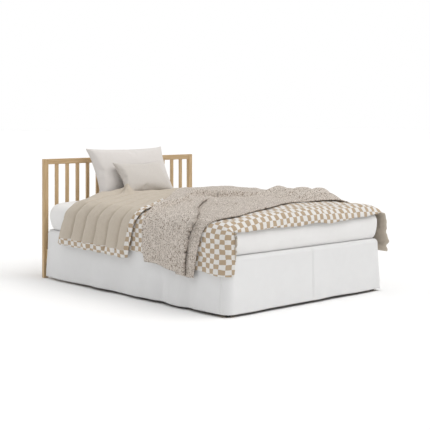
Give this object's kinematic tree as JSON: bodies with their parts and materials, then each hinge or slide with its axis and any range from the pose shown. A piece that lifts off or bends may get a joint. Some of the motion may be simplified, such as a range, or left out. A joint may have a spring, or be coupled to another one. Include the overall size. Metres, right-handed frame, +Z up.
{
  "type": "slatted headboard bed",
  "caption": "Bed with a slatted oak headboard, hidden wooden rail frame on levelling feet, skirted foundation, mattress, two quilts, throw, pillow and cushion.",
  "frame": {"origin": "on the floor at the centre of the bed's outline", "axes": "+Z up, +Y towards the headboard, +X to the right as seen from the foot"},
  "size_m": [1.4112, 1.96, 0.9164],
  "materials": {
    "oak": "matt oiled light oak",
    "pine": "sanded, unfinished pine",
    "beech": "turned, unfinished beech",
    "bracket_steel": "grey powder coat",
    "bolt_steel": "zinc plated",
    "screw_steel": "yellow zinc plated",
    "leveller_nylon": "moulded black nylon on a zinc stem",
    "ticking": "plain woven cover",
    "skirt_cotton": "pressed white cotton",
    "sheet_cotton": "white cotton percale",
    "checker_cotton": "washed cotton, tan and white squares",
    "channel_cotton": "washed beige cotton, channel stitched",
    "throw_knit": "chunky heathered knit",
    "pillow_cotton": "off-white washed cotton",
    "cushion_linen": "off-white linen"
  },
  "bodies": {
    "bed": {"headboard_post_left": "oak", "headboard_post_right": "oak", "headboard_top_rail": "oak", "headboard_bottom_rail": "oak", "headboard_slat_01": "oak", "headboard_slat_02": "oak", "headboard_slat_03": "oak", "headboard_slat_04": "oak", "headboard_slat_05": "oak", "headboard_slat_06": "oak", "headboard_slat_07": "oak", "headboard_slat_08": "oak", "headboard_slat_09": "oak", "headboard_slat_10": "oak", "headboard_slat_11": "oak", "headboard_slat_12": "oak", "headboard_slat_13": "oak", "headboard_slat_14": "oak", "side_rail_left": "pine", "side_rail_right": "pine", "foot_rail": "pine", "head_cross_rail": "pine", "foot_leg_left": "pine", "foot_leg_right": "pine", "ledger_left": "pine", "ledger_right": "pine", "centre_beam": "pine", "centre_leg_foot": "pine", "centre_leg_head": "pine", "beam_brackets": "bracket_steel", "bed_slat_01": "pine", "bed_slat_02": "pine", "bed_slat_03": "pine", "bed_slat_04": "pine", "bed_slat_05": "pine", "bed_slat_06": "pine", "bed_slat_07": "pine", "bed_slat_08": "pine", "wood_screws": "screw_steel", "rail_bolts": "bolt_steel", "barrel_nuts": "bolt_steel", "frame_dowels": "beech", "leveller_inserts": "bolt_steel", "foundation": "ticking", "skirt_deck": "skirt_cotton", "skirt_left": "skirt_cotton", "skirt_right": "skirt_cotton", "skirt_foot": "skirt_cotton", "mattress": "sheet_cotton", "checker_quilt": "checker_cotton", "channel_quilt": "channel_cotton", "throw": "throw_knit", "pillow": "pillow_cotton", "cushion": "cushion_linen"},
    "leveller_foot_left": {"leveller_foot_left": "leveller_nylon"},
    "leveller_foot_right": {"leveller_foot_right": "leveller_nylon"},
    "leveller_centre_foot": {"leveller_centre_foot": "leveller_nylon"},
    "leveller_centre_head": {"leveller_centre_head": "leveller_nylon"}
  },
  "joints": [
    {"name": "leveller_foot_left_slide", "type": "slide", "parent": "bed", "child": "leveller_foot_left", "axis": [0, 0, -1], "range_m": [0, 0.015]},
    {"name": "leveller_foot_right_slide", "type": "slide", "parent": "bed", "child": "leveller_foot_right", "axis": [0, 0, -1], "range_m": [0, 0.015]},
    {"name": "leveller_centre_foot_slide", "type": "slide", "parent": "bed", "child": "leveller_centre_foot", "axis": [0, 0, -1], "range_m": [0, 0.015]},
    {"name": "leveller_centre_head_slide", "type": "slide", "parent": "bed", "child": "leveller_centre_head", "axis": [0, 0, -1], "range_m": [0, 0.015]}
  ]
}
